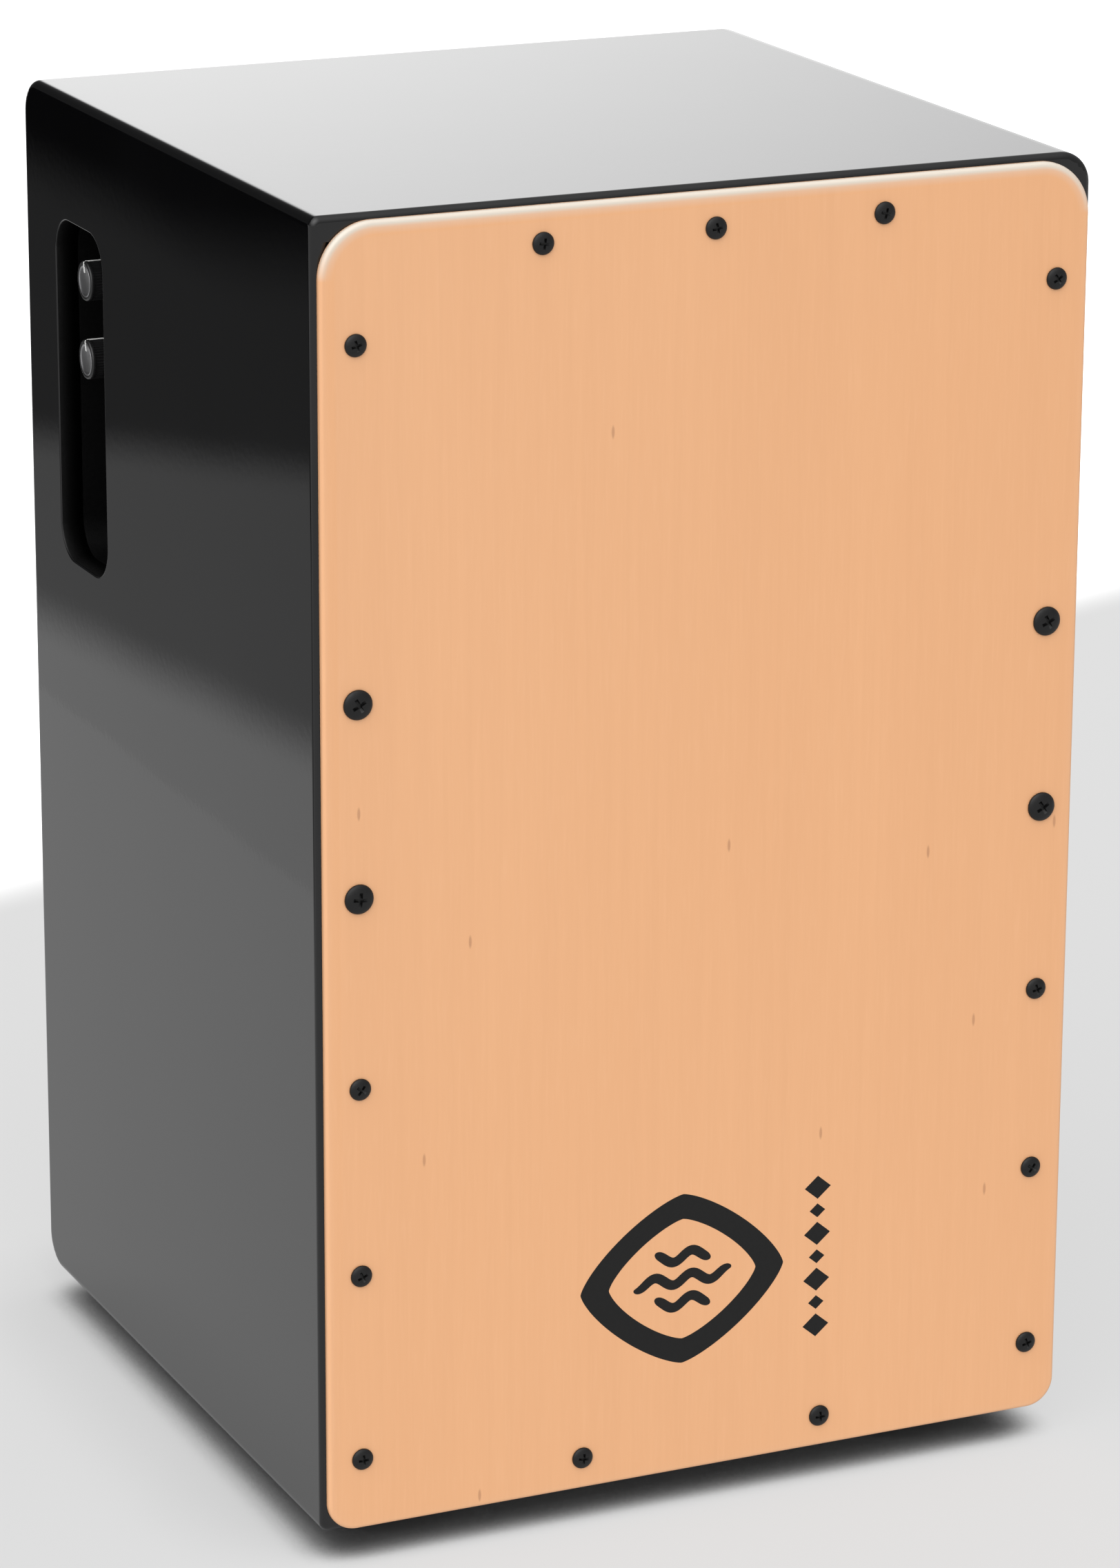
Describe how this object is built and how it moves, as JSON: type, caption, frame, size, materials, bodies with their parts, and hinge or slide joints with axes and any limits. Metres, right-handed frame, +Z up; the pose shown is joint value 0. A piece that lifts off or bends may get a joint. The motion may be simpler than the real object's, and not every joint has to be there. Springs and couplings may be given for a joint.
{
  "type": "cajon",
  "caption": "Box drum to sit on, with a thin screwed-on playing face, inner snare wires, a sound hole and a passive pickup whose two knobs and jack sit in a side pocket.",
  "frame": {"origin": "centre of the bounding box, at the floor", "axes": "+Z up, playing face towards -Y, control pocket in the -X side"},
  "size_m": [0.304, 0.3002, 0.5],
  "materials": {
    "black_lacquer": "gloss lacquer",
    "maple_face": "satin varnish",
    "black_screw": "satin black",
    "pine": "raw",
    "zinc_steel": "zinc plated",
    "snare_steel": "bright",
    "black_plastic": "matt",
    "black_metal": "satin",
    "knob_black": "satin",
    "knob_metal": "spun",
    "shaft_metal": "turned",
    "wire_red": "gloss",
    "foam": "foam",
    "brass": "polished",
    "ceramic": "silvered",
    "lead_black": "satin",
    "clip_white": "matt",
    "rubber": "matt"
  },
  "bodies": {
    "box": {"left_side_panel": "black_lacquer", "right_side_panel": "black_lacquer", "top_panel": "black_lacquer", "bottom_panel": "black_lacquer", "rear_panel": "black_lacquer", "front_plate": "maple_face", "plate_screws": "black_screw", "plate_screws_large": "black_screw", "front_batten_left": "pine", "front_batten_right": "pine", "front_batten_top": "pine", "front_batten_bottom": "pine", "rear_batten_left": "pine", "rear_batten_right": "pine", "rear_batten_top": "pine", "rear_batten_bottom": "pine", "snare_bar": "pine", "snare_mending_plates": "zinc_steel", "mending_plate_screws": "zinc_steel", "snare_wires_left": "snare_steel", "snare_wires_right": "snare_steel", "snare_base_strip_left": "snare_steel", "snare_base_strip_right": "snare_steel", "snare_tip_strip_left": "snare_steel", "snare_tip_strip_right": "snare_steel", "snare_strip_screws": "zinc_steel", "control_box": "black_plastic", "control_box_screws": "zinc_steel", "control_plate": "black_metal", "control_plate_screws": "black_screw", "volume_pot": "zinc_steel", "tone_pot": "zinc_steel", "pot_washers": "zinc_steel", "pot_nuts": "zinc_steel", "output_jack": "black_plastic", "jack_washer": "zinc_steel", "jack_nut": "zinc_steel", "control_wires": "wire_red", "piezo_pad": "foam", "piezo_disc": "brass", "piezo_ceramic": "ceramic", "pickup_lead": "lead_black", "lead_clips": "clip_white", "clip_nails": "zinc_steel", "foot_front_left": "rubber", "foot_front_right": "rubber", "foot_rear_left": "rubber", "foot_rear_right": "rubber", "foot_washers": "zinc_steel", "foot_screws": "zinc_steel"},
    "volume_control": {"volume_knob": "knob_black", "volume_knob_cap": "knob_metal", "volume_shaft": "shaft_metal", "volume_set_screw": "black_screw"},
    "tone_control": {"tone_knob": "knob_black", "tone_knob_cap": "knob_metal", "tone_shaft": "shaft_metal", "tone_set_screw": "black_screw"}
  },
  "joints": [
    {"name": "volume_turn", "type": "hinge", "parent": "box", "child": "volume_control", "pos_m": [-0.132, 0.08985, 0.431], "axis": [-1, 0, 0], "range_deg": [-150, 150]},
    {"name": "tone_turn", "type": "hinge", "parent": "box", "child": "tone_control", "pos_m": [-0.132, 0.08985, 0.4006], "axis": [-1, 0, 0], "range_deg": [-150, 150]}
  ]
}
